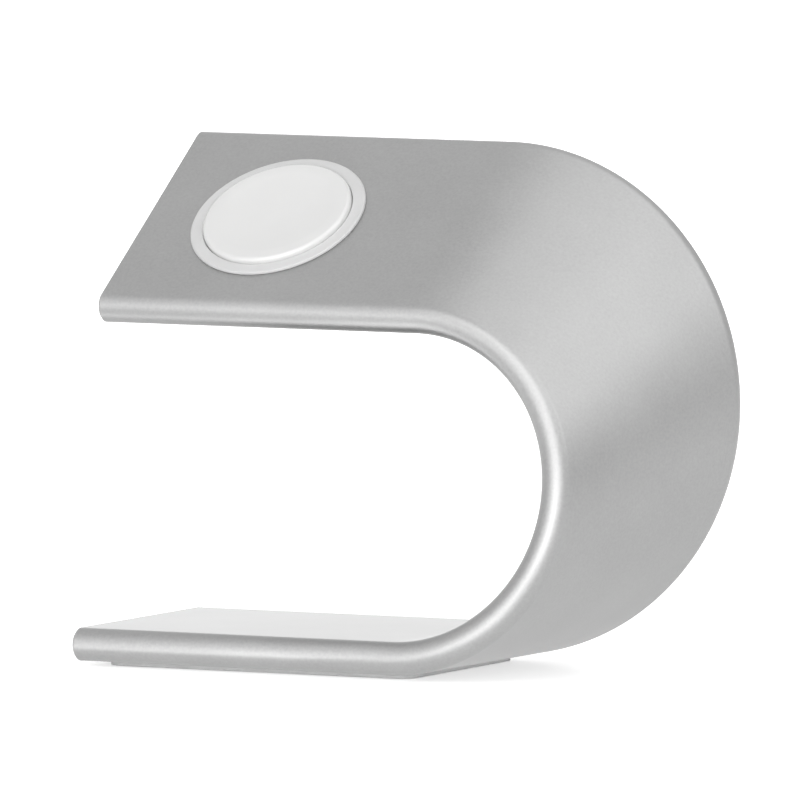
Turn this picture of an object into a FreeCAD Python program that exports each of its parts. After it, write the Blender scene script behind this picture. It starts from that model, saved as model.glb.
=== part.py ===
import FreeCAD, Part
import math
import os

import Sketcher
from FreeCAD import Placement, Rotation, Vector

# A smartwatch charging dock. One strip of aluminium plate with full-round long edges is
# bent into a C that opens to -X. Its lower arm lies flat on a thin pad, and its upper arm leans
# back towards +Y, so the bend is a cone: each edge follows a semicircle, small at the front and
# large at the back. A charging puck sits in a soft sleeve in the upper arm.
#
# Frame: millimetres, +Z up, the front of the dock faces -Y, origin at the middle of the
# outline's box on the surface that the dock stands on.

DIMENSIONS = (
    ("plate_thickness", 6.0, "plate, and the diameter of its full-round long edges"),
    ("plate_width", 51.5, "across the strip, round edges included"),
    ("front_gap", 54.5, "upright distance between the arms at their front edges"),
    ("top_setback", 10.2, "front edge of the upper arm behind that of the lower arm"),
    ("top_tilt", 35.3, "degrees that the upper arm leans back"),
    ("arm_length", 63.0, "flat arms, from their ends to the bend"),
    ("end_chamfer", 0.4, "broken edge round the cut ends of the strip"),
    ("pad_thickness", 0.8, "silicone pad under the lower arm"),
    ("pad_side_inset", 1.5, "pad's long edges inside the flat of the lower arm"),
    ("pad_end_inset", 4.5, "pad's short edge from the end of the lower arm"),
    ("pad_overrun", 3.0, "how far the pad runs on under the start of the bend"),
    ("pad_corner", 3.0, "corner radius of the pad"),
    ("charger_inset", 26.5, "charger's centre from the end of the upper arm"),
    ("charger_diameter", 27.8, "charging puck"),
    ("charger_height", 7.0, "charging puck, from its back to its rim"),
    ("fit_clearance", 0.1, "radial play of the round pieces that go into one another"),
    ("sleeve_wall", 1.1, "soft sleeve between the puck and the plate"),
    ("sleeve_floor", 0.6, "inner flange of the sleeve, on which the puck stands"),
    ("sleeve_floor_width", 2.0, "how far that flange reaches in under the puck"),
    ("collar_width", 1.2, "sleeve's collar on the plate, outside the hole"),
    ("collar_height", 0.6, "sleeve's collar above the plate"),
    ("collar_bevel", 0.35, "broken outer edge of the collar"),
    ("shell_wall", 0.8, "wall and floor of the puck's metal shell"),
    ("ledge_width", 1.3, "ledge inside the shell that carries the board"),
    ("ledge_height", 1.0, "ledge above the shell's floor"),
    ("cap_band", 1.8, "part of the puck's height that is the cap"),
    ("cap_plate", 1.4, "cap's thickness at its rim"),
    ("cap_bevel", 0.6, "broken outer edge of the cap"),
    ("cap_spigot_depth", 0.8, "how far the cap's spigot reaches into the shell"),
    ("cap_spigot_wall", 0.9, "wall of that spigot"),
    ("dish_margin", 2.4, "cap's flat rim round the shallow hollow in its face"),
    ("dish_flank", 7.0, "sloping part of the hollow, from its mouth to its flat middle"),
    ("dish_depth", 0.5, "depth of that hollow"),
    ("board_thickness", 0.8, "circuit board"),
    ("ferrite_thickness", 0.8, "ferrite disc"),
    ("ferrite_play", 0.6, "ferrite disc inside the cap's spigot, on each side"),
    ("coil_thickness", 1.2, "ring coil"),
    ("coil_margin", 0.3, "ferrite disc's rim outside the ring coil"),
    ("magnet_diameter", 10.4, "alignment magnet in the middle of the coil"),
    ("magnet_play", 1.0, "gap from the magnet to the ring coil, on each side"),
    ("cord_diameter", 2.6, "cord that the outlet and the channel are made for"),
    ("cord_play", 0.2, "cord's play on each side in the channel"),
    ("chip_width", 4.0, "controller chip, a square"),
    ("chip_thickness", 0.7, "controller chip"),
    ("capacitor_length", 1.6, "each capacitor"),
    ("capacitor_width", 0.8, "each capacitor, and its thickness"),
    ("capacitor_circle", 15.0, "diameter of the circle that the capacitors lie on"),
)
CAPACITORS = 6
BEND_SECTIONS = 7
BEND_DEGREE = 3
# The bend's cubic rounds and the arms' true ones differ by less than this.
ROUND_MATCH = 0.002
DRAFT_PLACE = 9.0
X_AXIS = Vector(1, 0, 0)

doc = FreeCAD.newDocument("watch_dock")


def make_sheet():
    """Write the driving dimensions into the spreadsheet, one named cell each."""
    sheet = doc.addObject("Spreadsheet::Sheet", "sizes")
    for row, (alias, value, meaning) in enumerate(DIMENSIONS, start=1):
        sheet.set(f"A{row}", alias)
        sheet.set(f"B{row}", str(value))
        sheet.set(f"C{row}", meaning)
        sheet.setAlias(f"B{row}", alias)
    doc.recompute()
    return sheet


sheet = make_sheet()


def size(alias):
    """A driving dimension, read from the sheet."""
    return float(sheet.get(alias))


def bind(feature, **expressions):
    """Tie properties of a feature to the cells of the sheet."""
    for prop, expression in expressions.items():
        feature.setExpression(prop, expression)


def on_seat(across="0", back="0", up="0", turn="0"):
    """Expression for a place on the charger's seat, turned about its X axis."""
    move = f"vector({across}; {back}; {up})"
    return f"charger_seat.Placement * placement({move}; rotation(vector(1; 0; 0); {turn}))"


def checked(shape, name):
    """Stop the build at a shape that is null or invalid."""
    if shape.isNull() or not shape.isValid():
        raise RuntimeError(f"{name} has no valid shape")
    return shape


class EdgeArc:
    """Semicircle that one long edge's centre line follows round the bend."""

    def __init__(self, low, high):
        self.low = low
        self.high = high
        self.centre = (low + high) / 2
        self.radius = (high - low).Length / 2
        self.up = (high - low).normalize()

    def point(self, angle):
        return self.centre + (self.up * math.sin(angle) + X_AXIS * math.cos(angle)) * self.radius

    def tangent(self, angle):
        return self.up * math.cos(angle) - X_AXIS * math.sin(angle)


class StripLayout:
    """Where the strip lies, worked out from the driving dimensions."""

    def __init__(self):
        tilt = math.radians(size("top_tilt"))
        self.edge_radius = size("plate_thickness") / 2
        spacing = size("plate_width") - size("plate_thickness")
        rise = size("front_gap") + size("plate_thickness")
        self.top_across = Vector(0, math.cos(tilt), math.sin(tilt))
        self.top_normal = Vector(0, -math.sin(tilt), math.cos(tilt))
        low_front = Vector(0, 0, size("pad_thickness") + self.edge_radius)
        low_back = low_front + Vector(0, spacing, 0)
        high_front = low_front + Vector(0, size("top_setback"), rise)
        high_back = high_front + self.top_across * spacing
        # The box's middle in X and Y is moved to the origin.
        reach = max((high_front - low_front).Length, (high_back - low_back).Length) / 2
        depths = [corner.y for corner in (low_front, low_back, high_front, high_back)]
        shift = Vector(
            (size("arm_length") - reach - self.edge_radius) / 2,
            -(min(depths) + max(depths)) / 2,
            0,
        )
        self.front = EdgeArc(low_front + shift, high_front + shift)
        self.back = EdgeArc(low_back + shift, high_back + shift)
        self.bend_x = shift.x
        self.arm_end_x = shift.x - size("arm_length")

    def charger_seat(self):
        """Placement of the charger: Z along its axis, origin on the upper arm's underside."""
        middle = (self.front.high + self.back.high) / 2 - self.top_normal * self.edge_radius
        middle.x = self.arm_end_x + size("charger_inset")
        return Placement(middle, Rotation(X_AXIS, size("top_tilt")))


def true_arc(start, crown, end):
    """Half round from start over crown to end, as a circular arc."""
    return Part.Arc(start, crown, end).toShape()


def half_ellipse(start, crown, end):
    """Half ellipse from start over crown to end, as two cubic quarters true to 0.03 percent."""
    centre = (start + end) / 2
    handle = 4 / 3 * (math.sqrt(2) - 1)
    out = (crown - centre) * handle
    side = (start - centre) * handle
    curve = Part.BSplineCurve()
    curve.buildFromPolesMultsKnots(
        [start, start + out, crown + side, crown, crown - side, end + out, end],
        (4, 3, 4), (0, 1, 2), False, 3,
    )
    return curve.toShape()


def strip_section(layout, angle, half_round):
    """Section of the strip through both edges' centre lines, at an angle round the bend.

    The ruling between the centre lines meets them aslant in the bend, so the round edges, which
    are true rounds square to the edge, show there as half ellipses.
    """
    front = layout.front.point(angle)
    back = layout.back.point(angle)
    ruling = (back - front).normalize()
    front_square = layout.front.tangent(angle).cross(ruling)
    back_square = layout.back.tangent(angle).cross(ruling)
    normal = front_square / front_square.Length + back_square / back_square.Length
    thick = normal.normalize() * layout.edge_radius
    front_crown = front - ruling * (layout.edge_radius / front_square.Length)
    back_crown = back + ruling * (layout.edge_radius / back_square.Length)
    edges = [
        Part.LineSegment(front + thick, back + thick).toShape(),
        half_round(back + thick, back_crown, back - thick),
        Part.LineSegment(back - thick, front - thick).toShape(),
        half_round(front - thick, front_crown, front + thick),
    ]
    return Part.Wire(edges)


def make_strip(layout):
    """The bent strip: a conical bend lofted through its sections, and two flat arms."""
    start = -math.pi / 2
    step = math.pi / (BEND_SECTIONS - 1)
    sections = [strip_section(layout, start + n * step, half_ellipse) for n in range(BEND_SECTIONS)]
    bend = Part.makeLoft(sections, True, False, False, BEND_DEGREE)
    arms = []
    for angle in (start, -start):
        profile = Part.Face(strip_section(layout, angle, true_arc))
        arm = profile.extrude(X_AXIS * -size("arm_length"))
        cut_end = [edge for edge in arm.Edges if edge.BoundBox.XMax < layout.arm_end_x + 0.001]
        arms.append(arm.makeChamfer(size("end_chamfer"), cut_end))
    strip = bend.fuse(arms, ROUND_MATCH)
    feature = doc.addObject("Part::Feature", "bent_strip")
    feature.Shape = checked(strip.removeSplitter(), "bent_strip")
    return feature


def origin_plane(body, role):
    """One of a body's own origin planes."""
    return [feature for feature in body.Origin.OriginFeatures if feature.Role == role][0]


def corner_profile(body, name, role, corners):
    """Closed sketch of straight lines whose corners are expressions for the sketch's X and Y.

    A corner at "0" is tied to the axis itself. The corners start on a small circle clear of the
    axes, and the constraints take them to their places.
    """
    sketch = body.newObject("Sketcher::SketchObject", name)
    sketch.AttachmentSupport = (origin_plane(body, role), [""])
    sketch.MapMode = "FlatFace"
    turn = 2 * math.pi / len(corners)
    middle = Vector(DRAFT_PLACE, DRAFT_PLACE, 0)
    rough = [
        middle + Vector(math.cos(turn * n), math.sin(turn * n), 0) for n in range(len(corners))
    ]
    for start, end in zip(rough, rough[1:] + rough[:1]):
        sketch.addGeometry(Part.LineSegment(start, end), False)
    for index in range(len(corners)):
        following = (index + 1) % len(corners)
        sketch.addConstraint(Sketcher.Constraint("Coincident", index, 2, following, 1))
    for index, (across, up) in enumerate(corners):
        for kind, axis, value, start in (
            ("DistanceX", -2, across, rough[index].x),
            ("DistanceY", -1, up, rough[index].y),
        ):
            if value == "0":
                sketch.addConstraint(Sketcher.Constraint("PointOnObject", index, 1, axis))
                continue
            place = sketch.addConstraint(Sketcher.Constraint(kind, -1, 1, index, 1, start))
            sketch.setExpression(f"Constraints[{place}]", value)
    return sketch


def turned_body(name, corners):
    """A round piece on the charger's axis, turned from its half section (radius, height)."""
    body = doc.addObject("PartDesign::Body", name)
    bind(body, Placement="charger_seat.Placement")
    sketch = corner_profile(body, name + "_section", "XZ_Plane", corners)
    turning = body.newObject("PartDesign::Revolution", name + "_turning")
    turning.Profile = sketch
    turning.ReferenceAxis = (sketch, ["V_Axis"])
    turning.Angle = 360
    doc.recompute()
    return body


def dressed(body, kind, name, wanted, **amount):
    """Put a PartDesign Fillet or Chamfer on the edges of a body's tip that wanted() picks."""
    base = body.Tip
    edges = [f"Edge{n}" for n, edge in enumerate(base.Shape.Edges, start=1) if wanted(edge)]
    if not edges:
        raise RuntimeError(f"{name} finds no edge")
    dressing = body.newObject(f"PartDesign::{kind}", name)
    dressing.Base = (base, edges)
    bind(dressing, **amount)
    doc.recompute()
    return dressing


def rim_at(radius, height):
    """Test for a full circle of a radius at a height along the piece's own axis."""
    def wanted(edge):
        circle = edge.Curve
        return (
            isinstance(circle, Part.Circle)
            and abs(circle.Radius - radius) < 0.001
            and abs(circle.Center.z - height) < 0.001
        )
    return wanted


def make_stand(strip):
    """The strip with the charger's hole and the channel that lets its cord out at the back."""
    stand = doc.addObject("PartDesign::Body", "stand_body")
    stand.BaseFeature = strip
    hole = stand.newObject("PartDesign::SubtractiveCylinder", "charger_hole")
    bind(hole, Placement=on_seat(), Radius=HOLE_RADIUS, Height="sizes.plate_thickness")
    channel = stand.newObject("PartDesign::SubtractiveBox", "cord_channel")
    bind(
        channel,
        Placement=on_seat(across=f"-{CORD_ROOM} / 2", up="-1"),
        Length=CORD_ROOM,
        Width="sizes.plate_width",
        Height=f"{CORD_HEIGHT} + 1",
    )
    crown = stand.newObject("PartDesign::SubtractiveCylinder", "cord_channel_crown")
    bind(
        crown,
        Placement=on_seat(up=CORD_HEIGHT, turn="-90"),
        Radius=f"{CORD_ROOM} / 2",
        Height="sizes.plate_width",
    )
    doc.recompute()
    return stand


def make_pad(layout):
    """Flat pad under the lower arm, with rounded corners."""
    pad = doc.addObject("PartDesign::Body", "base_pad")
    pad.Placement.Base = Vector(layout.arm_end_x, layout.front.low.y, 0)
    left = "sizes.pad_end_inset"
    right = "sizes.arm_length + sizes.pad_overrun"
    near = "sizes.pad_side_inset"
    far = "sizes.plate_width - sizes.plate_thickness - sizes.pad_side_inset"
    corners = ((left, near), (right, near), (right, far), (left, far))
    sheet_form = pad.newObject("PartDesign::Pad", "base_pad_sheet")
    sheet_form.Profile = corner_profile(pad, "base_pad_outline", "XY_Plane", corners)
    bind(sheet_form, Length="sizes.pad_thickness")
    doc.recompute()

    def upright(edge):
        return abs(edge.BoundBox.ZLength - size("pad_thickness")) < 0.001

    dressed(pad, "Fillet", "base_pad_corners", upright, Radius="sizes.pad_corner")
    return pad


def make_sleeve():
    """Soft sleeve: inner flange under the puck, collar on the plate, slot for the cord."""
    inner = f"{PUCK_RADIUS} + sizes.fit_clearance"
    outer = f"{inner} + sizes.sleeve_wall"
    flange = f"{PUCK_RADIUS} - sizes.sleeve_floor_width"
    collar = f"{HOLE_RADIUS} + sizes.collar_width"
    top = "sizes.plate_thickness + sizes.collar_height"
    sleeve = turned_body("charger_sleeve", (
        (flange, "0"),
        (outer, "0"),
        (outer, "sizes.plate_thickness"),
        (collar, "sizes.plate_thickness"),
        (collar, top),
        (inner, top),
        (inner, "sizes.sleeve_floor"),
        (flange, "sizes.sleeve_floor"),
    ))
    collar_radius = (
        size("charger_diameter") / 2 + 2 * size("fit_clearance") + size("sleeve_wall")
        + size("collar_width")
    )
    collar_top = size("plate_thickness") + size("collar_height")
    collar_rim = rim_at(collar_radius, collar_top)
    dressed(sleeve, "Chamfer", "collar_edge", collar_rim, Size="sizes.collar_bevel")
    slot = sleeve.newObject("PartDesign::SubtractiveBox", "sleeve_cord_slot")
    bind(slot, Length=CORD_ROOM, Width="sizes.charger_diameter", Height=f"{CORD_HEIGHT} + {CORD_ROOM} / 2")
    slot.setExpression("Placement.Base.x", f"-{CORD_ROOM} / 2")
    slot.setExpression("Placement.Base.y", PUCK_RADIUS)
    doc.recompute()
    return sleeve


def make_shell():
    """Metal cup of the puck, with a ledge for the board and a round outlet for the cord."""
    inner = f"{PUCK_RADIUS} - sizes.shell_wall"
    ledge = f"{inner} - sizes.ledge_width"
    floor = "sizes.sleeve_floor + sizes.shell_wall"
    shell = turned_body("charger_shell", (
        ("0", "sizes.sleeve_floor"),
        (PUCK_RADIUS, "sizes.sleeve_floor"),
        (PUCK_RADIUS, CAP_SEAT),
        (inner, CAP_SEAT),
        (inner, LEDGE_TOP),
        (ledge, LEDGE_TOP),
        (ledge, floor),
        ("0", floor),
    ))
    bottom_rim = rim_at(size("charger_diameter") / 2, size("sleeve_floor"))
    dressed(shell, "Chamfer", "shell_bottom_edge", bottom_rim, Size="sizes.shell_wall / 2")
    outlet = shell.newObject("PartDesign::SubtractiveCylinder", "cord_outlet")
    bind(outlet, Radius="sizes.cord_diameter / 2", Height=PUCK_RADIUS)
    outlet.setExpression(
        "Placement",
        f"placement(vector(0; {ledge} - 1; {CORD_HEIGHT}); rotation(vector(1; 0; 0); -90))",
    )
    doc.recompute()
    return shell


def make_cap():
    """White face of the puck, with a shallow round hollow and a spigot inside the shell."""
    underside = f"{PUCK_TOP} - sizes.cap_plate"
    spigot_end = f"{CAP_SEAT} - sizes.cap_spigot_depth"
    cap = turned_body("charger_cap", (
        ("0", PUCK_TOP),
        (PUCK_RADIUS, PUCK_TOP),
        (PUCK_RADIUS, CAP_SEAT),
        (INSIDE_SHELL, CAP_SEAT),
        (INSIDE_SHELL, spigot_end),
        (INSIDE_SPIGOT, spigot_end),
        (INSIDE_SPIGOT, underside),
        ("0", underside),
    ))
    top = size("sleeve_floor") + size("charger_height")
    top_rim = rim_at(size("charger_diameter") / 2, top)
    dressed(cap, "Chamfer", "cap_edge", top_rim, Size="sizes.cap_bevel")
    dish = cap.newObject("PartDesign::SubtractiveCone", "cap_dish")
    mouth = f"{PUCK_RADIUS} - sizes.dish_margin"
    bind(dish, Radius1=f"{mouth} - sizes.dish_flank", Radius2=mouth, Height="sizes.dish_depth")
    dish.setExpression("Placement.Base.z", f"{PUCK_TOP} - sizes.dish_depth")
    doc.recompute()
    return cap


def make_disc(name, radius, bottom, top):
    """Plain round disc inside the puck."""
    return turned_body(name, (("0", bottom), (radius, bottom), (radius, top), ("0", top)))


def make_coil(bottom, top):
    """Flat ring coil round the magnet."""
    return turned_body("charger_coil", (
        (COIL_INSIDE, bottom),
        (COIL_OUTSIDE, bottom),
        (COIL_OUTSIDE, top),
        (COIL_INSIDE, top),
    ))


def make_chips():
    """Controller chip and a ring of capacitors on the board's underside, as one group."""
    chip = doc.addObject("Part::Box", "controller_chip")
    bind(
        chip,
        Length="sizes.chip_width",
        Width="sizes.chip_width",
        Height="sizes.chip_thickness",
        Placement=on_seat(
            "-sizes.chip_width / 2", "-sizes.chip_width / 2", f"{LEDGE_TOP} - sizes.chip_thickness"
        ),
    )
    pieces = [chip]
    for index in range(CAPACITORS):
        turn = f"rotation(vector(0; 0; 1); {360 / CAPACITORS * index})"
        shift = (
            "placement(vector(sizes.capacitor_circle / 2 - sizes.capacitor_length / 2; "
            f"-sizes.capacitor_width / 2; {LEDGE_TOP} - sizes.capacitor_width); "
            "rotation(vector(0; 0; 1); 0))"
        )
        capacitor = doc.addObject("Part::Box", f"capacitor_{index + 1}")
        bind(
            capacitor,
            Length="sizes.capacitor_length",
            Width="sizes.capacitor_width",
            Height="sizes.capacitor_width",
            Placement=f"charger_seat.Placement * placement(vector(0; 0; 0); {turn}) * {shift}",
        )
        pieces.append(capacitor)
    chips = doc.addObject("Part::Compound", "board_chips")
    chips.Links = pieces
    doc.recompute()
    return chips


def export(nodes):
    """Check every object and shape, then write one STEP file for each node."""
    doc.recompute()
    for feature in doc.Objects:
        if "Invalid" in feature.State or "Error" in feature.State:
            raise RuntimeError(f"{feature.Label} is {feature.State}")
    os.makedirs("parts", exist_ok=True)
    for node in nodes:
        shape = checked(node.Shape, node.Label)
        shape.exportStep(f"parts/{node.Label}.step")
        print(f"{node.Label}: {shape.Volume:.1f} mm3, {len(shape.Solids)} solid(s)")


# Expressions that several pieces share. Heights run up the charger's axis from its seat.
PUCK_RADIUS = "sizes.charger_diameter / 2"
HOLE_RADIUS = f"{PUCK_RADIUS} + sizes.fit_clearance * 2 + sizes.sleeve_wall"
PUCK_TOP = "sizes.sleeve_floor + sizes.charger_height"
CAP_SEAT = f"{PUCK_TOP} - sizes.cap_band"
LEDGE_TOP = "sizes.sleeve_floor + sizes.shell_wall + sizes.ledge_height"
BOARD_TOP = f"{LEDGE_TOP} + sizes.board_thickness"
FERRITE_TOP = f"{BOARD_TOP} + sizes.ferrite_thickness"
INSIDE_SHELL = f"{PUCK_RADIUS} - sizes.shell_wall - sizes.fit_clearance"
INSIDE_SPIGOT = f"{INSIDE_SHELL} - sizes.cap_spigot_wall"
FERRITE_RADIUS = f"{INSIDE_SPIGOT} - sizes.ferrite_play"
COIL_OUTSIDE = f"{FERRITE_RADIUS} - sizes.coil_margin"
MAGNET_RADIUS = "sizes.magnet_diameter / 2"
COIL_INSIDE = f"{MAGNET_RADIUS} + sizes.magnet_play"
CORD_ROOM = "(sizes.cord_diameter + 2 * sizes.cord_play)"
CORD_HEIGHT = "(sizes.sleeve_floor + sizes.shell_wall + sizes.cord_play + sizes.cord_diameter / 2)"

layout = StripLayout()
seat = doc.addObject("App::Placement", "charger_seat")
seat.Placement = layout.charger_seat()
export((
    make_stand(make_strip(layout)),
    make_pad(layout),
    make_sleeve(),
    make_shell(),
    make_cap(),
    make_disc("charger_magnet", MAGNET_RADIUS, FERRITE_TOP, f"{PUCK_TOP} - sizes.cap_plate"),
    make_coil(FERRITE_TOP, f"{FERRITE_TOP} + sizes.coil_thickness"),
    make_disc("charger_ferrite", FERRITE_RADIUS, BOARD_TOP, FERRITE_TOP),
    make_disc("charger_board", INSIDE_SHELL, LEDGE_TOP, BOARD_TOP),
    make_chips(),
))
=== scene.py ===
import math

import bmesh
import bpy
import numpy as np
from bpy.props import FloatProperty, FloatVectorProperty, IntProperty, PointerProperty
from mathutils import Matrix, Vector


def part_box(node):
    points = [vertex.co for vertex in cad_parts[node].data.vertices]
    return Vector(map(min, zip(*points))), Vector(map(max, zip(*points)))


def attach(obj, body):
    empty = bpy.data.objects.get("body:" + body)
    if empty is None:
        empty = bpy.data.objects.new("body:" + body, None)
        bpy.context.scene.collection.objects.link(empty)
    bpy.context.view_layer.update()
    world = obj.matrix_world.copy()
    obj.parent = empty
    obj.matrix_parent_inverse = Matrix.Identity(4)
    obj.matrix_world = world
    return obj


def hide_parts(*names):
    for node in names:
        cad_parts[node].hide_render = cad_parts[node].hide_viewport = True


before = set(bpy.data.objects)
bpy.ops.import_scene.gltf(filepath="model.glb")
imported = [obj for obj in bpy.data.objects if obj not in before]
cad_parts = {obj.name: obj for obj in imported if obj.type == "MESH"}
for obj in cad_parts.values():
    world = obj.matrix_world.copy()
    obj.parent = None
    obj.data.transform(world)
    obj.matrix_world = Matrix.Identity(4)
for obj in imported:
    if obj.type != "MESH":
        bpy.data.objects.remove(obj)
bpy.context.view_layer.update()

bl_info = {
    "name": "Smartwatch charging dock",
    "version": (1, 0, 0),
    "blender": (4, 5, 0),
    "location": "3D View > Sidebar > Dock",
    "description": "A charging dock bent from one aluminium strip, with its charging puck",
    "category": "Object",
}

STAND_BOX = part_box("stand_body")
PAD_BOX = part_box("base_pad")
X_AXIS = np.array((1.0, 0.0, 0.0))
WHITE = (1.0, 1.0, 1.0, 1.0)
# Edges between faces that meet at more than this angle are shaded sharp.
SHARP_ANGLE = math.radians(30.0)
# Lamps that face the dock: name, degrees round from +Y towards +X, degrees up, width and
# height in metres, radiance.
SOFTBOXES = (
    ("front_softbox", 172, 5, 1.04, 0.42, 4.5),
    ("left_softbox", 200, 8, 1.1, 0.85, 1.1),
    ("right_softbox", 148, 9, 1.1, 0.85, 1.5),
    ("high_softbox", 175, 42, 1.3, 0.8, 2.15),
    ("side_softbox", 100, 46, 1.3, 0.9, 0.95),
    ("low_side_softbox", 80, 29, 0.46, 0.84, 1.1),
    ("rear_softbox", -30, 8, 0.9, 0.4, 1.87),
    ("top_softbox", 70, 78, 1.2, 1.2, 0.78),
)
# Lamps flat on the floor: name, middle along X and Y, width and depth in metres, radiance.
BOUNCE_CARDS = (
    ("near_card", 0.0, -0.065, 0.08, 0.04, 1.8),
    ("corner_card", -0.065, -0.042, 0.11, 0.02, 1.3),
)


def length(name, description, default):
    """Property for a length in metres."""
    return FloatProperty(
        name=name, description=description, default=default, unit="LENGTH", precision=5, min=0.0
    )


def factor(name, description, default):
    """Property for a share from 0 to 1."""
    return FloatProperty(
        name=name, description=description, default=default, subtype="FACTOR", min=0.0, max=1.0
    )


def colour(name, description, default):
    """Property for a colour in linear RGB."""
    return FloatVectorProperty(
        name=name, description=description, default=default,
        subtype="COLOR", size=3, min=0.0, max=1.0,
    )


def turn(name, description, degrees):
    """Property for an angle, given in degrees."""
    return FloatProperty(
        name=name, description=description, default=math.radians(degrees), unit="ROTATION"
    )


def number(name, description, default):
    """Property for a plain number."""
    return FloatProperty(name=name, description=description, default=default)


def count(name, description, default):
    """Property for a whole number."""
    return IntProperty(name=name, description=description, default=default, min=1)


class StripSizes(bpy.types.PropertyGroup):
    """Sizes of the bent aluminium strip."""

    thickness: length("Thickness", "Plate, and the diameter of its full-round long edges", 0.006)
    width: length("Width", "Across the strip, round edges included", 0.0515)
    front_gap: length("Front gap", "Upright distance between the arms at their front edges", 0.0545)
    setback: length("Setback", "Front edge of the upper arm behind that of the lower arm", 0.0102)
    tilt: turn("Tilt", "How far the upper arm leans back", 35.3)
    arm: length("Arm length", "Flat arms, from their ends to the bend", 0.063)
    chamfer: length("End chamfer", "Broken edge round the cut ends", 0.0004)
    bend_stations: count("Bend stations", "Sections round the bend", 181)
    round_points: count("Round points", "Points over a round edge", 33)


class PuckSizes(bpy.types.PropertyGroup):
    """Sizes of the charging puck, its soft sleeve and the channel for its cord."""

    inset: length("Inset", "Puck's centre from the end of the upper arm", 0.0265)
    diameter: length("Diameter", "Charging puck", 0.0278)
    height: length("Height", "Charging puck, from its back to its rim", 0.007)
    clearance: length("Clearance", "Radial play of pieces that go into one another", 0.0001)
    sleeve_wall: length("Sleeve wall", "Sleeve between the puck and the plate", 0.0011)
    flange_height: length("Flange height", "Inner flange of the sleeve", 0.0006)
    flange_width: length("Flange width", "How far the flange reaches in under the puck", 0.002)
    collar_width: length("Collar width", "Sleeve's collar on the plate", 0.0012)
    collar_height: length("Collar height", "Collar above the plate", 0.0006)
    shell_wall: length("Shell wall", "Wall and floor of the puck's metal shell", 0.0008)
    cap_band: length("Cap band", "Part of the puck's height that is the cap", 0.0018)
    cap_plate: length("Cap plate", "Cap's thickness at its rim", 0.0014)
    cap_edge: length("Cap edge", "Radius of the cap's outer edge", 0.0007)
    spigot_depth: length("Spigot depth", "How far the cap reaches into the shell", 0.0008)
    spigot_wall: length("Spigot wall", "Wall of the cap's spigot", 0.0009)
    dish_margin: length("Dish margin", "Flat rim round the hollow in the cap", 0.0024)
    dish_depth: length("Dish depth", "Depth of the hollow", 0.0005)
    cord: length("Cord", "Cord that the channel is made for", 0.0026)
    cord_play: length("Cord play", "Cord's play on each side in the channel", 0.0002)
    turn_points: count("Turn points", "Points round a turned piece", 192)
    dish_points: count("Dish points", "Points from the middle of the hollow to its rim", 25)


class PadSizes(bpy.types.PropertyGroup):
    """Sizes of the pad under the lower arm that its box doesn't give."""

    corner: length("Corner", "Corner radius of the pad's outline", 0.003)
    edge: length("Edge", "Radius of the pad's upper and lower edges", 0.00015)


class Finishes(bpy.types.PropertyGroup):
    """Colours and surface qualities."""

    aluminium: colour("Aluminium", "Silver anodised, bead-blasted plate", (0.345, 0.345, 0.345))
    aluminium_roughness: factor("Aluminium roughness", "Bead-blasted surface", 0.42)
    silicone: colour("Sleeve silicone", "Soft sleeve round the puck", (0.72, 0.72, 0.72))
    pad: colour("Pad silicone", "Pad under the lower arm", (0.72, 0.72, 0.72))
    pad_clearness: factor("Pad clearness", "Share of the light that the frosted pad lets in", 0.5)
    cap: colour("Cap", "Glossy white plastic", (0.82, 0.82, 0.815))
    steel: colour("Steel", "Shell of the puck", (0.34, 0.34, 0.345))
    copper: colour("Copper", "Enamelled winding", (0.72, 0.30, 0.13))
    ferrite: colour("Ferrite", "Sintered disc", (0.045, 0.045, 0.048))
    board: colour("Board", "Solder mask", (0.02, 0.12, 0.06))
    nickel: colour("Nickel", "Plated magnet", (0.62, 0.60, 0.56))
    floor: colour("Floor", "Plain pale floor", (0.8, 0.8, 0.8))


class Shot(bpy.types.PropertyGroup):
    """The camera's place, matched to the photograph, and the lights."""

    azimuth: turn("Azimuth", "0 looks along +Y, 90 along -X", 26.79)
    elevation: turn("Elevation", "Above the horizon", 4.46)
    distance: length("Distance", "From the camera to the matched point", 3.202)
    focal_pixels: number("Focal length", "In pixels of the photograph", 17823.0)
    image_size: count("Image size", "Photograph's sides in pixels", 800)
    point: FloatVectorProperty(
        name="Matched point",
        description="Point of the dock whose pixel is known",
        default=(0.008297, 0.00193, 0.04688),
        unit="LENGTH",
    )
    pixel: FloatVectorProperty(
        name="Matched pixel", description="Where that point lies in the photograph",
        default=(455.67, 407.82), size=2,
    )
    floor_size: length("Floor size", "Side of the square floor", 14.0)
    room: factor("Room light", "Level of the light that comes from all round", 0.1)
    lamp_distance: length("Lamp distance", "From the matched point to each lamp", 1.5)
    lamp_level: number("Lamp level", "Factor on every lamp", 1.0)
    card_lift: length("Card lift", "Bounce cards above the floor", 0.0005)
    floor_lift: factor("Floor lift", "White added to the floor where the camera sees it", 0.52)
    mirror_lift: factor("Mirror lift", "Least white added to the floor in reflections", 0.78)
    fade_start: length("Fade start", "Where the floor begins to fade to plain white", 0.3)
    fade_end: length("Fade end", "From where on the floor is plain white", 1.6)


# Shapes

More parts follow.
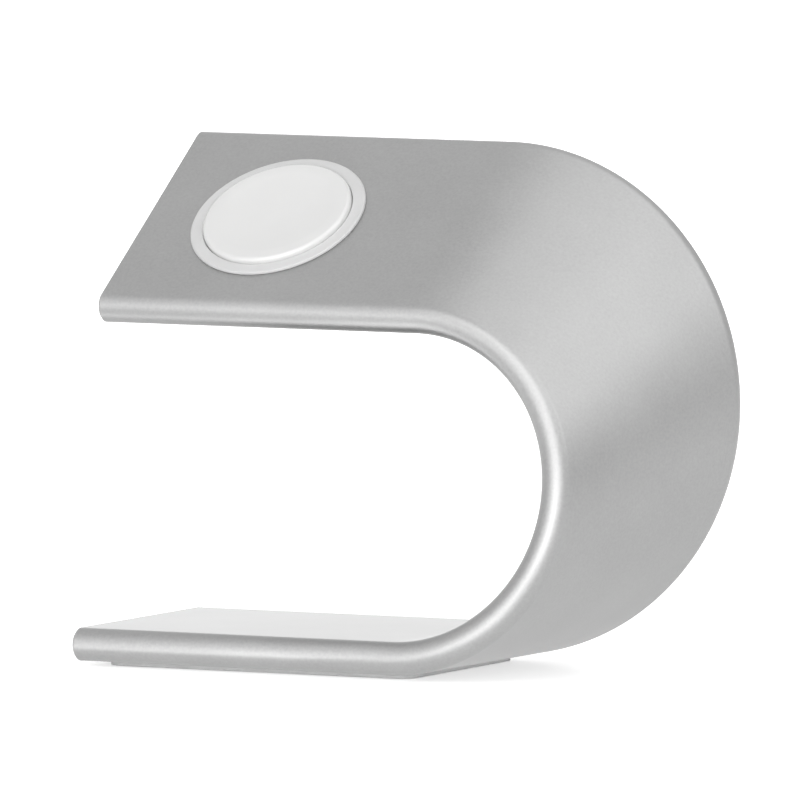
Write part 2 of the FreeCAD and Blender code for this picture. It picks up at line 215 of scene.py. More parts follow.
def station_arrays(sizes):
    """Angle round the bend, distance out along an arm, and edge radius of every station.

    The cut ends are stations of their own: the last one lies a chamfer further out and its
    radius is a chamfer smaller. Another station lies just outside the bend.
    """
    radius = sizes.thickness / 2
    outside = sizes.thickness / 6
    bend = np.linspace(-math.pi / 2, math.pi / 2, sizes.bend_stations)
    out = np.array((sizes.arm, sizes.arm - sizes.chamfer, outside))
    ends = np.array((radius - sizes.chamfer, radius, radius))
    angle = np.concatenate((np.full(out.size, bend[0]), bend, np.full(out.size, bend[-1])))
    along = np.concatenate((out, np.zeros(bend.size), out[::-1]))
    rounding = np.concatenate((ends, np.full(bend.size, radius), ends[::-1]))
    return angle, along, rounding


class StripForm:
    """The strip's centre lines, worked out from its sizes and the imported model's box."""

    def __init__(self, sizes):
        radius = sizes.thickness / 2
        self.spacing = sizes.width - sizes.thickness
        self.across = np.array((0.0, math.cos(sizes.tilt), math.sin(sizes.tilt)))
        self.normal = np.array((0.0, -math.sin(sizes.tilt), math.cos(sizes.tilt)))
        bend_x = STAND_BOX[0][0] + sizes.arm
        self.low_front = np.array((bend_x, STAND_BOX[0][1] + radius, STAND_BOX[0][2] + radius))
        self.low_back = self.low_front + np.array((0.0, self.spacing, 0.0))
        rise = np.array((0.0, sizes.setback, sizes.front_gap + sizes.thickness))
        self.high_front = self.low_front + rise
        self.high_back = self.high_front + self.across * self.spacing
        self.radius = radius

    def edge(self, low, high, angle):
        """Points and directions of a long edge's centre line.

        The line is a semicircle: middle + R (up sin a + X cos a), where up points from the
        lower arm's edge to the upper arm's, and R is half their distance.
        """
        middle = (low + high) / 2
        reach = np.linalg.norm(high - low) / 2
        up = (high - low) / (2 * reach)
        sine = np.sin(angle)[:, None]
        cosine = np.cos(angle)[:, None]
        return middle + reach * (up * sine + X_AXIS * cosine), up * cosine - X_AXIS * sine

    def seat(self, inset):
        """Matrix of the charger's seat: Z along its axis, origin on the upper arm's underside."""
        middle = (self.high_front + self.high_back) / 2 - self.normal * self.radius
        middle[0] = STAND_BOX[0][0] + inset
        tilt = math.atan2(self.across[2], self.across[1])
        return Matrix.Translation(Vector(middle)) @ Matrix.Rotation(tilt, 4, "X")


def strip_surface(form, sizes):
    """Grid of points: stations along the strip by points round its section.

    A section's ruling joins the two centre lines. Its thickness stands square to the ruling
    and to the mean of the edges' directions. Each round edge is the half ellipse
    centre + cos(t) thickness + sin(t) crown, with a crown of r / |direction x ruling|, so it is
    a true round of radius r square to the edge's own run.
    """
    angle, along, rounding = station_arrays(sizes)
    front, front_way = form.edge(form.low_front, form.high_front, angle)
    back, back_way = form.edge(form.low_back, form.high_back, angle)
    ruling = back - front
    ruling /= np.linalg.norm(ruling, axis=1, keepdims=True)
    front_square = np.cross(front_way, ruling)
    back_square = np.cross(back_way, ruling)
    front_share = np.linalg.norm(front_square, axis=1, keepdims=True)
    back_share = np.linalg.norm(back_square, axis=1, keepdims=True)
    thick = front_square / front_share + back_square / back_share
    thick *= rounding[:, None] / np.linalg.norm(thick, axis=1, keepdims=True)
    front_crown = -ruling * rounding[:, None] / front_share
    back_crown = ruling * rounding[:, None] / back_share

    # The second and the last but one keep the flat's shading off the round edges.
    rim = 0.004
    share = np.concatenate(((0.0, rim), np.linspace(0.125, 0.875, 7), (1.0 - rim, 1.0)))
    share = share[None, :, None]
    swing = np.linspace(0, math.pi, sizes.round_points)[1:-1][None, :, None]
    front, back, thick = front[:, None], back[:, None], thick[:, None]
    points = np.concatenate((
        front + thick + (back - front) * share,
        back + thick * np.cos(swing) + back_crown[:, None] * np.sin(swing),
        back - thick + (front - back) * share,
        front - thick * np.cos(swing) + front_crown[:, None] * np.sin(swing),
    ), axis=1)
    return points - X_AXIS * along[:, None, None]


def grid_faces(rows, columns, wrap_rows=False):
    """Quads of a grid whose columns close into a ring, and its rows too if wrap_rows is set."""
    row = np.arange(rows if wrap_rows else rows - 1)[:, None]
    column = np.arange(columns)[None, :]
    following = (row + 1) % rows
    beside = (column + 1) % columns
    corners = (
        row * columns + column,
        row * columns + beside,
        following * columns + beside,
        following * columns + column,
    )
    return np.stack(corners, axis=-1).reshape(-1, 4).tolist()


def eased_outline(corners, radii, steps=8, lead=1.25):
    """Polygon with each corner replaced by an arc, as one array of points.

    The arc of a corner P with unit ways a and b to its neighbours and radius r starts at
    P + a r / tan(h) and ends at P + b r / tan(h), h being half the angle between a and b. Its
    centre lies at P + (a + b) r / (|a + b| sin(h)), and its points are slerped about it. A
    point beyond each end of the arc, lead times as far from P, keeps the side's shading straight.
    """
    corners = np.asarray(corners, dtype=float)
    radii = np.asarray(radii, dtype=float)[:, None]
    before = np.roll(corners, 1, axis=0) - corners
    after = np.roll(corners, -1, axis=0) - corners
    before /= np.linalg.norm(before, axis=1, keepdims=True)
    after /= np.linalg.norm(after, axis=1, keepdims=True)
    half = np.arccos(np.clip((before * after).sum(axis=1, keepdims=True), -1, 1)) / 2
    run = radii / np.tan(half)
    bisector = before + after
    bisector /= np.linalg.norm(bisector, axis=1, keepdims=True)
    centre = corners + bisector * radii / np.sin(half)
    start = corners + before * run - centre
    end = corners + after * run - centre
    sweep = (math.pi - 2 * half)[:, None]
    share = np.linspace(0, 1, steps + 1)[None, :, None]
    arc = (start[:, None] * np.sin((1 - share) * sweep) + end[:, None] * np.sin(share * sweep))
    arc = centre[:, None] + arc / np.sin(sweep)
    beyond = run * lead
    first = (corners + before * beyond)[:, None]
    last = (corners + after * beyond)[:, None]
    return np.concatenate((first, arc, last), axis=1).reshape(-1, corners.shape[1])


def turned_surface(outline, points):
    """Grid of a surface of revolution: (r, h) becomes (r cos t, r sin t, h)."""
    angle = np.linspace(0, 2 * math.pi, points, endpoint=False)[None, :]
    radius = outline[:, 0:1]
    height = np.broadcast_to(outline[:, 1:2], (len(outline), points))
    return np.stack((radius * np.cos(angle), radius * np.sin(angle), height), axis=-1)


def prism_surface(outline, start, end):
    """Grid of an outline (x, z) carried along Y from start to end."""
    run = np.array((start, end))[:, None]
    across = np.broadcast_to(outline[:, 0], (2, len(outline)))
    height = np.broadcast_to(outline[:, 1], (2, len(outline)))
    return np.stack((across, np.broadcast_to(run, across.shape), height), axis=-1)


# Meshes

def new_piece(name, grid, faces, capped=False, place=None):
    """Object from a grid of points and its faces, closed by two end faces where it is capped."""
    rows, columns = grid.shape[:2]
    if capped:
        faces = faces + [list(range(columns)), list(range((rows - 1) * columns, rows * columns))]
    mesh = bpy.data.meshes.new(name)
    mesh.from_pydata(grid.reshape(-1, 3).tolist(), [], faces)
    if place is not None:
        mesh.transform(place)
    piece = bpy.data.objects.new(name, mesh)
    bpy.context.scene.collection.objects.link(piece)
    tidy_mesh(mesh)
    return piece


def tidy_mesh(mesh):
    """Merge doubles, turn faces outward and mark the sharp edges."""
    work = bmesh.new()
    work.from_mesh(mesh)
    bmesh.ops.remove_doubles(work, verts=work.verts, dist=1e-7)
    bmesh.ops.dissolve_degenerate(work, edges=work.edges, dist=1e-8)
    bmesh.ops.recalc_face_normals(work, faces=work.faces)
    work.to_mesh(mesh)
    work.free()
    mesh.shade_smooth()
    mesh.set_sharp_from_angle(angle=SHARP_ANGLE)


def cut(piece, cutters):
    """Take the cutters out of a piece, keep the result as its mesh and remove the cutters."""
    for cutter in cutters:
        boolean = piece.modifiers.new("cut", "BOOLEAN")
        boolean.operation = "DIFFERENCE"
        boolean.solver = "EXACT"
        boolean.object = cutter
    bpy.context.view_layer.update()
    evaluated = piece.evaluated_get(bpy.context.evaluated_depsgraph_get())
    mesh = bpy.data.meshes.new_from_object(evaluated)
    piece.modifiers.clear()
    piece.data = mesh
    for cutter in cutters:
        bpy.data.objects.remove(cutter)
    tidy_mesh(mesh)
    if not mesh.polygons:
        raise RuntimeError(f"{piece.name} is empty after its cuts")


def finish_piece(piece, material, slot, *nodes):
    """Give a piece its material and its body, and hide the CAD nodes that it stands for."""
    piece.data.materials.clear()
    piece.data.materials.append(material)
    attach(piece, "root")
    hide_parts(*nodes)


def check_box(piece, node, room=0.0005):
    """Stop if a piece's box leaves its node's box by more than the room."""
    points = np.empty(len(piece.data.vertices) * 3)
    piece.data.vertices.foreach_get("co", points)
    points = points.reshape(-1, 3)
    low, high = np.array(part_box(node))
    beyond = max((low - points.min(axis=0)).max(), (points.max(axis=0) - high).max())
    if beyond > room:
        raise RuntimeError(f"{piece.name} leaves the box of {node} by {beyond * 1000:.2f} mm")


# Materials

def new_material(name, **sockets):
    """Material with one Principled shader, and its sockets set by name."""
    material = bpy.data.materials.new(name)
    material.use_nodes = True
    shader = material.node_tree.nodes["Principled BSDF"]
    for socket, value in sockets.items():
        shader.inputs[socket.replace("_", " ")].default_value = value
    return material, material.node_tree, shader


def opaque(rgb):
    """Colour with full alpha."""
    return (*rgb, 1.0)


def object_space(tree, place=None):
    """Object coordinates, moved and turned into a piece's own seat where a place is given."""
    source = tree.nodes.new("ShaderNodeTexCoord").outputs["Object"]
    if place is None:
        return source
    mapping = tree.nodes.new("ShaderNodeMapping")
    mapping.vector_type = "TEXTURE"
    mapping.inputs["Location"].default_value = place.to_translation()
    mapping.inputs["Rotation"].default_value = place.to_euler()
    tree.links.new(source, mapping.inputs["Vector"])
    return mapping.outputs["Vector"]


def noise(tree, vector, scale, detail=2.0, roughness=0.5):
    """Noise texture's value output."""
    texture = tree.nodes.new("ShaderNodeTexNoise")
    texture.inputs["Scale"].default_value = scale
    texture.inputs["Detail"].default_value = detail
    texture.inputs["Roughness"].default_value = roughness
    tree.links.new(vector, texture.inputs["Vector"])
    return texture.outputs["Fac"]


def spread(tree, value, low, high):
    """Map a value from 0..1 to low..high."""
    span = tree.nodes.new("ShaderNodeMapRange")
    span.inputs["To Min"].default_value = low
    span.inputs["To Max"].default_value = high
    tree.links.new(value, span.inputs["Value"])
    return span.outputs["Result"]


def varied(tree, value, middle, swing=0.06):
    """Map a value from 0..1 to as much as a swing below and above a middle."""
    return spread(tree, value, middle - swing, middle + swing)


def tint(tree, value, dark, light):
    """Colour that runs from dark to light with a value."""
    mix = tree.nodes.new("ShaderNodeMix")
    mix.data_type = "RGBA"
    mix.inputs["A"].default_value = opaque(dark)
    mix.inputs["B"].default_value = opaque(light)
    tree.links.new(value, mix.inputs["Factor"])
    return mix.outputs["Result"]


def relief(tree, shader, height, depth):
    """Bump whose full height is depth, in metres."""
    bump = tree.nodes.new("ShaderNodeBump")
    bump.inputs["Distance"].default_value = depth
    tree.links.new(height, bump.inputs["Height"])
    tree.links.new(bump.outputs["Normal"], shader.inputs["Normal"])


def shaded(rgb, share):
    """A colour made darker or lighter by a share of itself."""
    return tuple(min(1.0, channel * (1 + share)) for channel in rgb)


def tones(tree, value, rgb, down, up):
    """Colour that runs with a value from rgb darkened by a share to rgb lightened by another."""
    return tint(tree, value, shaded(rgb, -down), shaded(rgb, up))


def dress(tree, shader, tone, roughness, height, depth):
    """Link a shader's colour and roughness, and a relief of the given depth."""
    tree.links.new(tone, shader.inputs["Base Color"])
    tree.links.new(roughness, shader.inputs["Roughness"])
    relief(tree, shader, height, depth)


def blasted_aluminium(finish):
    """Anodised plate: bead-blasted grain of about 0.5 mm, and slow drifts of tone."""
    material, tree, shader = new_material("blasted_aluminium", Metallic=1.0)
    space = object_space(tree)
    grain = noise(tree, space, scale=1900.0)
    mottle = tree.nodes.new("ShaderNodeMix")
    mottle.inputs["Factor"].default_value = 0.35
    tree.links.new(grain, mottle.inputs["A"])
    tree.links.new(noise(tree, space, scale=60.0, detail=3.0), mottle.inputs["B"])
    tone = tones(tree, mottle.outputs["Result"], finish.aluminium, down=0.18, up=0.18)
    roughness = varied(tree, grain, finish.aluminium_roughness)
    dress(tree, shader, tone, roughness, grain, depth=0.00002)
    return material


def soft_silicone(name, rgb, clearness=0.0):
    """Moulded silicone: satin, faintly blotched, with a fine matt grain, and frosted if clear."""
    material, tree, shader = new_material(
        name, Sheen_Weight=0.15, Specular_IOR_Level=0.4, Transmission_Weight=clearness, IOR=1.41
    )
    space = object_space(tree)
    grain = noise(tree, space, scale=3800.0, detail=3.0, roughness=0.6)
    tone = tones(tree, noise(tree, space, scale=220.0), rgb, down=0.05, up=0.04)
    dress(tree, shader, tone, spread(tree, grain, low=0.5, high=0.66), grain, depth=0.00001)
    return material


def glossy_cap(finish):
    """Moulded white plastic under a clear gloss, with the faintest flow marks."""
    material, tree, shader = new_material("glossy_cap", Coat_Weight=0.5, Coat_Roughness=0.06)
    space = object_space(tree)
    flow = noise(tree, space, scale=160.0, detail=1.0)
    tone = tones(tree, flow, finish.cap, down=0.02, up=0.02)
    dress(tree, shader, tone, spread(tree, flow, low=0.16, high=0.24), flow, depth=0.000008)
    return material


def turned_metal(name, rgb, place, pitch, rough, depth):
    """Metal turned on a lathe: rings of a pitch round the seat's axis, broken up by noise.

    The wave texture repeats every pi / (10 scale) metres.
    """
    material, tree, shader = new_material(name, Metallic=1.0)
    space = object_space(tree, place)
    rings = tree.nodes.new("ShaderNodeTexWave")
    rings.wave_type = "RINGS"
    rings.rings_direction = "Z"
    rings.inputs["Scale"].default_value = math.pi / (10 * pitch)
    rings.inputs["Distortion"].default_value = 0.6
    rings.inputs["Detail Scale"].default_value = 2.0
    tree.links.new(space, rings.inputs["Vector"])
    ridge = rings.outputs["Fac"]
    tone = tones(tree, noise(tree, space, scale=300.0), rgb, down=0.06, up=0.05)
    dress(tree, shader, tone, varied(tree, ridge, rough), ridge, depth)
    return material


def sintered_ferrite(finish):
    """Pressed and fired ferrite: near black, matt, with a fine pitted grain."""
    material, tree, shader = new_material("sintered_ferrite")
    space = object_space(tree)
    grain = noise(tree, space, scale=2600.0, detail=4.0, roughness=0.7)
    tone = tones(tree, grain, finish.ferrite, down=0.25, up=0.35)
    dress(tree, shader, tone, spread(tree, grain, low=0.55, high=0.8), grain, depth=0.00003)
    return material


def solder_mask(finish):
    """Circuit board: glossy mask over conductors, which run in bands and stand slightly proud."""
    material, tree, shader = new_material("solder_mask", Coat_Weight=0.3)
    space = object_space(tree)
    bands = tree.nodes.new("ShaderNodeTexBrick")
    bands.inputs["Scale"].default_value = 420.0
    bands.inputs["Mortar Size"].default_value = 0.035
    bands.inputs["Color1"].default_value = opaque(finish.board)
    bands.inputs["Color2"].default_value = opaque(shaded(finish.board, 0.2))
    bands.inputs["Mortar"].default_value = opaque(shaded(finish.board, -0.4))
    tree.links.new(space, bands.inputs["Vector"])
    roughness = spread(tree, noise(tree, space, scale=500.0), low=0.25, high=0.4)
    dress(tree, shader, bands.outputs["Color"], roughness, bands.outputs["Fac"], depth=-0.00002)
    return material


def moulded_epoxy():
    """Chip packages: dark grey moulding compound with a fine matt grain."""
    material, tree, shader = new_material("moulded_epoxy")
    space = object_space(tree)
    grain = noise(tree, space, scale=4500.0, detail=3.0, roughness=0.6)
    tone = tint(tree, grain, dark=(0.015, 0.015, 0.016), light=(0.03, 0.03, 0.032))
    dress(tree, shader, tone, spread(tree, grain, low=0.45, high=0.65), grain, depth=0.00001)
    return material


def joined(tree, operation, first, second):
    """Two values joined by one step of arithmetic."""
    step = tree.nodes.new("ShaderNodeMath")
    step.operation = operation
    tree.links.new(first, step.inputs[0])
    tree.links.new(second, step.inputs[1])
    return step.outputs["Value"]


def mirrored_rays(tree):
    """1 for rays in a reflection or through glass, else 0."""
    path = tree.nodes.new("ShaderNodeLightPath").outputs
    return joined(tree, "MAXIMUM", path["Is Glossy Ray"], path["Is Transmission Ray"])


def seen_rays(tree):
    """1 for rays from the camera, in a reflection or through glass, else 0."""
    path = tree.nodes.new("ShaderNodeLightPath").outputs
    return joined(tree, "MAXIMUM", path["Is Camera Ray"], mirrored_rays(tree))


def pale_floor(finish, shot):
    """Satin white floor, with plain white added where it is seen.

    The camera sees less of that white near the dock, so that the floor keeps the light and the
    shadow that fall on it, and all of it further away. In reflections at least the mirror lift
    is added everywhere, because the dock's metal mirrors a white floor.
    """
    material, tree, shader = new_material("pale_floor", Roughness=0.5, Specular_IOR_Level=0.5)
    space = object_space(tree)
    tone = tones(tree, noise(tree, space, scale=3.0), finish.floor, down=0.004, up=0.004)
    tree.links.new(tone, shader.inputs["Base Color"])
    away = tree.nodes.new("ShaderNodeVectorMath")
    away.operation = "LENGTH"
    tree.links.new(space, away.inputs[0])
    fade = tree.nodes.new("ShaderNodeMapRange")
    fade.inputs["From Min"].default_value = shot.fade_start
    fade.inputs["From Max"].default_value = shot.fade_end
    fade.inputs["To Min"].default_value = shot.floor_lift
    fade.inputs["To Max"].default_value = 1.0
    tree.links.new(away.outputs["Value"], fade.inputs["Value"])
    mirrored = spread(tree, mirrored_rays(tree), low=0.0, high=shot.mirror_lift)
    white = joined(tree, "MAXIMUM", fade.outputs["Result"], mirrored)
    seen = joined(tree, "MULTIPLY", seen_rays(tree), white)
    shader.inputs["Emission Color"].default_value = WHITE
    tree.links.new(seen, shader.inputs["Emission Strength"])
    return material


# Operators

class DOCK_OT_make_strip(bpy.types.Operator):
    """Make the bent aluminium strip, with the puck's hole and the cord's channel"""

    bl_idname = "dock.make_strip"
    bl_label = "Bent strip"

    def execute(self, context):
        sizes = context.scene.dock_strip
        puck = context.scene.dock_puck
        form = StripForm(sizes)
        seat = form.seat(puck.inset)
        grid = strip_surface(form, sizes)
        faces = grid_faces(*grid.shape[:2])
        strip = new_piece("dock_strip", grid, faces, capped=True)
        cut(strip, (hole_cutter(puck, sizes, seat), channel_cutter(puck, sizes, seat)))
        aluminium = blasted_aluminium(context.scene.dock_finishes)
        finish_piece(strip, aluminium, "stand_body", "stand_body")
        check_box(strip, "stand_body")
        return {"FINISHED"}


def hole_radius(puck):
    """Radius of the plate's hole, which the sleeve fills."""
    return puck.diameter / 2 + 2 * puck.clearance + puck.sleeve_wall


def hole_cutter(puck, sizes, seat):
    """Cylinder through the plate on the seat's axis, with its edges slightly flared."""
    radius = hole_radius(puck)
    flare = puck.clearance * 1.5
    beyond = sizes.thickness / 2
    outline = np.array((
        (radius + flare, -beyond),
        (radius + flare, 0.0),
        (radius, flare),
        (radius, sizes.thickness - flare),
        (radius + flare, sizes.thickness),
        (radius + flare, sizes.thickness + beyond),
    ))
    grid = turned_surface(outline, puck.turn_points)
    return new_piece("hole_cutter", grid, grid_faces(*grid.shape[:2]), capped=True, place=seat)


def cord_channel(puck):
    """Half width of the cord's channel, and the height of its crown's centre."""
    half = puck.cord / 2 + puck.cord_play
    return half, puck.flange_height + puck.shell_wall + half


def channel_outline(half, crown, floor, points=24):
    """Outline of the channel: upright sides from the floor under a half circle at the crown."""
    swing = np.linspace(0, math.pi, points + 1)
    arch = np.stack((half * np.cos(swing), crown + half * np.sin(swing)), axis=1)
    return np.concatenate((arch, ((-half, floor), (half, floor))))


def channel_cutter(puck, sizes, seat):
    """The channel's shape, carried from the seat's axis out past the back edge."""
    half, crown = cord_channel(puck)
    outline = channel_outline(half, crown, -sizes.thickness / 2)
    grid = prism_surface(outline, 0.0, sizes.width)
    return new_piece("channel_cutter", grid, grid_faces(*grid.shape[:2]), capped=True, place=seat)


class DOCK_OT_make_pad(bpy.types.Operator):
    """Make the silicone pad that the lower arm stands on"""

    bl_idname = "dock.make_pad"
    bl_label = "Base pad"

    def execute(self, context):
        finish = context.scene.dock_finishes
        grid = pad_surface(context.scene.dock_pad, *PAD_BOX)
        pad = new_piece("dock_pad", grid, grid_faces(*grid.shape[:2]), capped=True)
        silicone = soft_silicone("pad_silicone", finish.pad, finish.pad_clearness)
        finish_piece(pad, silicone, "base_pad", "base_pad")
        check_box(pad, "base_pad")
        return {"FINISHED"}


def pad_surface(sizes, low, high, steps=6):
    """Rings of the pad from its underside up: its outline, drawn in by the rounding of its edges.

    A ring at angle e of the rounding lies r (1 - sin e) inside the outline and r (1 - cos e)
    above the underside. The upper edge mirrors the lower one.
    """
    corners = ((low[0], low[1]), (high[0], low[1]), (high[0], high[1]), (low[0], high[1]))
    outline = eased_outline(corners, np.full(4, sizes.corner))
    inward = eased_outline(
        np.array(corners) + np.array(((1, 1), (-1, 1), (-1, -1), (1, -1))) * sizes.edge,
        np.full(4, sizes.corner - sizes.edge),
    )
    swing = np.linspace(0, math.pi / 2, steps + 1)
    draw = np.concatenate((1 - np.sin(swing), (1 - np.sin(swing))[::-1]))
    lift = sizes.edge * (1 - np.cos(swing))
    height = np.concatenate((low[2] + lift, (high[2] - lift)[::-1]))
    flat = outline[None] + (inward - outline)[None] * draw[:, None, None]
    rise = np.broadcast_to(height[:, None, None], (*flat.shape[:2], 1))
    return np.concatenate((flat, rise), axis=-1)


class DOCK_OT_make_sleeve(bpy.types.Operator):
    """Make the soft sleeve between the puck and the plate"""

    bl_idname = "dock.make_sleeve"
    bl_label = "Puck sleeve"

    def execute(self, context):
        puck = context.scene.dock_puck
        sizes = context.scene.dock_strip
        seat = StripForm(sizes).seat(puck.inset)
        grid = turned_surface(sleeve_outline(puck, sizes), puck.turn_points)
        faces = grid_faces(*grid.shape[:2], wrap_rows=True)
        sleeve = new_piece("puck_sleeve", grid, faces, place=seat)
        cut(sleeve, (slot_cutter(puck, seat),))
        silicone = soft_silicone("sleeve_silicone", context.scene.dock_finishes.silicone)
        finish_piece(sleeve, silicone, "charger_sleeve", "charger_sleeve")
        check_box(sleeve, "charger_sleeve")
        return {"FINISHED"}


def sleeve_outline(puck, sizes):
    """Section of the sleeve: its wall, the flange inside its foot and the collar on the plate."""
    inner = puck.diameter / 2 + puck.clearance
    outer = inner + puck.sleeve_wall
    flange = puck.diameter / 2 - puck.flange_width
    collar = hole_radius(puck) + puck.collar_width
    top = sizes.thickness + puck.collar_height
    fine = puck.clearance
    return eased_outline(
        (
            (flange, 0.0), (outer, 0.0), (outer, sizes.thickness), (collar, sizes.thickness),
            (collar, top), (inner, top),
            (inner, puck.flange_height), (flange, puck.flange_height),
        ),
        (fine, fine, fine, fine, puck.collar_height / 2, fine * 2, fine, fine),
    )


def slot_cutter(puck, seat):
    """The channel's shape, carried from the puck's rim out past the sleeve and below its foot."""
    half, crown = cord_channel(puck)
    underneath = -5 * puck.clearance
    outside = 1.5 * puck.diameter
    outline = channel_outline(half, crown, underneath)
    grid = prism_surface(outline, puck.diameter / 2, outside)
    return new_piece("slot_cutter", grid, grid_faces(*grid.shape[:2]), capped=True, place=seat)


class DOCK_OT_make_cap(bpy.types.Operator):
    """Make the puck's white face, with its shallow round hollow"""

    bl_idname = "dock.make_cap"
    bl_label = "Puck cap"

    def execute(self, context):
        puck = context.scene.dock_puck
        seat = StripForm(context.scene.dock_strip).seat(puck.inset)
        grid = turned_surface(cap_outline(puck), puck.turn_points)
        cap = new_piece("puck_cap", grid, grid_faces(*grid.shape[:2]), place=seat)
        finish_piece(cap, glossy_cap(context.scene.dock_finishes), "charger_cap", "charger_cap")
        check_box(cap, "charger_cap")
        return {"FINISHED"}


def cap_outline(puck):
    """Half section of the cap, from the middle of its face to the middle of its underside.

    The hollow is a sphere's cap: its depth at a radius r is d - (R - sqrt(R^2 - r^2)), where
    the sphere's radius R is (m^2 + d^2) / 2 d for a mouth of radius m and a depth d. It takes
    the place of the first corner, and the last one, on the axis too, stays a corner.
    """
    top = puck.flange_height + puck.height
    seat = top - puck.cap_band
    rim = puck.diameter / 2
    mouth = rim - puck.dish_margin
    sphere = (mouth**2 + puck.dish_depth**2) / (2 * puck.dish_depth)
    radius = np.linspace(0, mouth, puck.dish_points)
    depth = puck.dish_depth - (sphere - np.sqrt(sphere**2 - radius**2))
    dish = np.stack((radius, top - depth), axis=1)
    outer = rim - puck.shell_wall - puck.clearance
    inner = outer - puck.spigot_wall
    corners = (
        (0.0, top), (rim, top), (rim, seat), (outer, seat), (outer, seat - puck.spigot_depth),
        (inner, seat - puck.spigot_depth), (inner, top - puck.cap_plate),
        (0.0, top - puck.cap_plate),
    )
    radii = np.full(len(corners), puck.clearance)
    radii[1] = puck.cap_edge
    body = eased_outline(corners, radii)
    per_corner = len(body) // len(corners)
    return np.concatenate((dish, body[per_corner:-per_corner], corners[-1:]))


class DOCK_OT_finish_nodes(bpy.types.Operator):
    """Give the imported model's own pieces inside the puck their finishes"""

    bl_idname = "dock.finish_nodes"
    bl_label = "Inside of the puck"

    def execute(self, context):
        finish = context.scene.dock_finishes
        puck = context.scene.dock_puck
        seat = StripForm(context.scene.dock_strip).seat(puck.inset)
        materials = {
            "charger_shell": turned_metal(
                "turned_steel", finish.steel, seat, pitch=0.00035, rough=0.3, depth=0.000004
            ),
            "charger_magnet": turned_metal(
                "nickel_plate", finish.nickel, seat, pitch=0.0006, rough=0.22, depth=0.000002
            ),
            "charger_coil": turned_metal(
                "wound_copper", finish.copper, seat, pitch=0.0003, rough=0.34, depth=0.00006
            ),
            "charger_ferrite": sintered_ferrite(finish),
            "charger_board": solder_mask(finish),
            "board_chips": moulded_epoxy(),
        }
        for node, material in materials.items():
            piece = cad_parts[node]
            if not piece.material_slots:
                raise RuntimeError(f"{node} has no material slot")
            for place in piece.material_slots:
                place.material = material
        return {"FINISHED"}


class DOCK_OT_set_stage(bpy.types.Operator):
    """Set up the floor, the soft light and the camera"""

    bl_idname = "dock.set_stage"
    bl_label = "Stage"

    def execute(self, context):
        shot = context.scene.dock_shot
        lay_floor(context.scene.dock_finishes, shot)
        light_room(context.scene, shot)
        hang_softboxes(shot)
        lay_bounce_cards(shot)
        context.scene.camera = place_camera(shot)
        context.scene.view_settings.view_transform = "Standard"
        return {"FINISHED"}


def lay_floor(finish, shot):
    """Square floor that the pad stands on."""
    half = shot.floor_size / 2
    mesh = bpy.data.meshes.new("floor")
    corners = ((-half, -half, 0.0), (half, -half, 0.0), (half, half, 0.0), (-half, half, 0.0))
    mesh.from_pydata(corners, [], ((0, 1, 2, 3),))
    floor = bpy.data.objects.new("floor", mesh)
    bpy.context.scene.collection.objects.link(floor)
    floor.location.z = PAD_BOX[0][2]
    mesh.materials.append(pale_floor(finish, shot))


def light_room(scene, shot):
    """Even light from all round, which shows as plain white where it is seen."""
    world = bpy.data.worlds.new("white_room")
    world.use_nodes = True
    tree = world.node_tree
    background = tree.nodes["Background"]
    background.inputs["Color"].default_value = WHITE
    level = spread(tree, seen_rays(tree), low=shot.room, high=1.0)
    tree.links.new(level, background.inputs["Strength"])
    scene.world = world


def add_lamp(shot, name, width, height, radiance, place, turned):
    """Rectangular lamp, which the camera doesn't see.

    Its radiance is a share of the white room's, and its power is pi area radiance.
    """
    lamp = bpy.data.lights.new(name, "AREA")
    lamp.shape = "RECTANGLE"
    lamp.size = width
    lamp.size_y = height
    lamp.energy = math.pi * width * height * radiance * shot.lamp_level
    lamp_object = bpy.data.objects.new(name, lamp)
    lamp_object.location = place
    lamp_object.rotation_euler = turned
    lamp_object.visible_camera = False
    bpy.context.scene.collection.objects.link(lamp_object)


def hang_softboxes(shot):
    """Soft lamps round the dock, each facing it from an azimuth and an elevation."""
    for name, azimuth, elevation, width, height, radiance in SOFTBOXES:
        around, up = math.radians(azimuth), math.radians(elevation)
        level = math.cos(up)
        way = Vector((math.sin(around) * level, math.cos(around) * level, math.sin(up)))
        place = Vector(shot.point) + way * shot.lamp_distance
        facing = (-way).to_track_quat("-Z", "Y").to_euler()
        add_lamp(shot, name, width, height, radiance, place, facing)


def lay_bounce_cards(shot):
    """Lamps flat on the floor before the dock, which light its lower and rounded edges."""
    for name, x, y, width, depth, radiance in BOUNCE_CARDS:
        place = (x, y, PAD_BOX[0][2] + shot.card_lift)
        add_lamp(shot, name, width, depth, radiance, place, (math.pi, 0.0, 0.0))


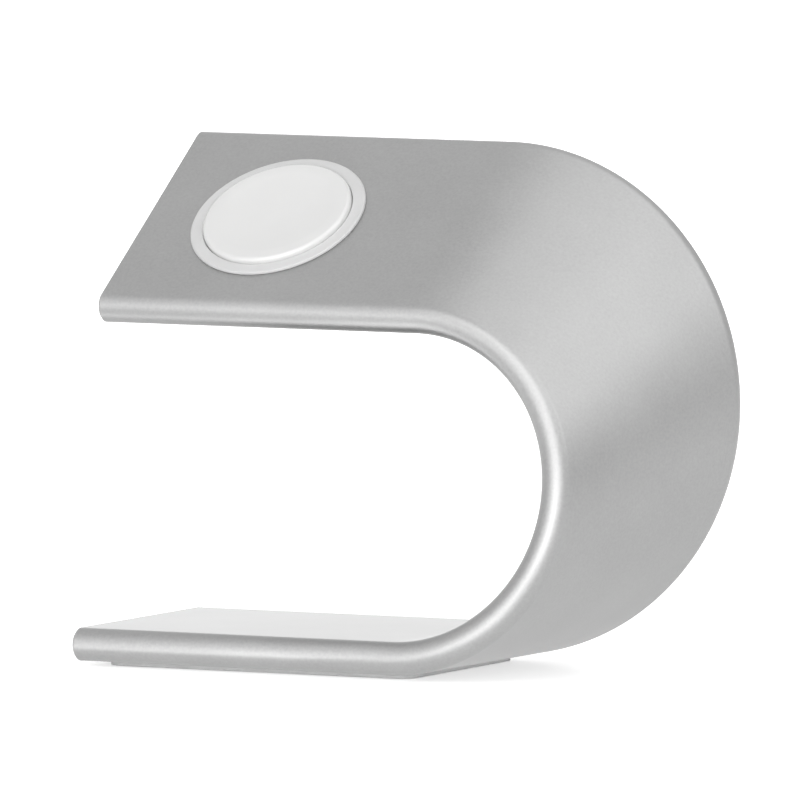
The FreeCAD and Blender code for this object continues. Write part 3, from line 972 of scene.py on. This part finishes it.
def place_camera(shot):
    """Camera that looks along the matched direction and sees the matched point at its pixel.

    The view direction is (-sin a cos e, cos a cos e, -sin e). The camera stands back from the
    point by the distance, and then aside by (pixel - middle) / focal length times the distance.
    """
    sine, cosine = math.sin(shot.azimuth), math.cos(shot.azimuth)
    level, climb = math.cos(shot.elevation), math.sin(shot.elevation)
    forward = Vector((-sine * level, cosine * level, -climb))
    right = Vector((cosine, sine, 0.0))
    up = right.cross(forward)
    middle = shot.image_size / 2
    metres_per_pixel = shot.distance / shot.focal_pixels
    place = (
        Vector(shot.point)
        - forward * shot.distance
        - right * (shot.pixel[0] - middle) * metres_per_pixel
        + up * (shot.pixel[1] - middle) * metres_per_pixel
    )
    data = bpy.data.cameras.new("photo_camera")
    data.lens = shot.focal_pixels / shot.image_size * data.sensor_width
    camera = bpy.data.objects.new("photo_camera", data)
    camera.matrix_world = Matrix((
        (right.x, up.x, -forward.x, place.x),
        (right.y, up.y, -forward.y, place.y),
        (right.z, up.z, -forward.z, place.z),
        (0.0, 0.0, 0.0, 1.0),
    ))
    bpy.context.scene.collection.objects.link(camera)
    return camera


class DOCK_PT_sidebar(bpy.types.Panel):
    """Buttons for each piece and the stage"""

    bl_idname = "DOCK_PT_sidebar"
    bl_label = "Charging dock"
    bl_space_type = "VIEW_3D"
    bl_region_type = "UI"
    bl_category = "Dock"

    def draw(self, context):
        for operator in OPERATORS:
            self.layout.operator(operator.bl_idname)


GROUPS = {
    "dock_strip": StripSizes,
    "dock_puck": PuckSizes,
    "dock_pad": PadSizes,
    "dock_finishes": Finishes,
    "dock_shot": Shot,
}
OPERATORS = (
    DOCK_OT_set_stage,
    DOCK_OT_make_strip,
    DOCK_OT_make_pad,
    DOCK_OT_make_sleeve,
    DOCK_OT_make_cap,
    DOCK_OT_finish_nodes,
)


def register():
    """Add the classes, and the settings to the scene."""
    for group in GROUPS.values():
        bpy.utils.register_class(group)
    for operator in OPERATORS:
        bpy.utils.register_class(operator)
    bpy.utils.register_class(DOCK_PT_sidebar)
    for name, group in GROUPS.items():
        setattr(bpy.types.Scene, name, PointerProperty(type=group))


def unregister():
    """Take the settings and the classes away again."""
    for name in GROUPS:
        delattr(bpy.types.Scene, name)
    bpy.utils.unregister_class(DOCK_PT_sidebar)
    for operator in reversed(OPERATORS):
        bpy.utils.unregister_class(operator)
    for group in reversed(list(GROUPS.values())):
        bpy.utils.unregister_class(group)


def main():
    """Make every piece and the stage."""
    register()
    bpy.ops.dock.set_stage()
    bpy.ops.dock.make_strip()
    bpy.ops.dock.make_pad()
    bpy.ops.dock.make_sleeve()
    bpy.ops.dock.make_cap()
    bpy.ops.dock.finish_nodes()


if __name__ == "__main__":
    main()
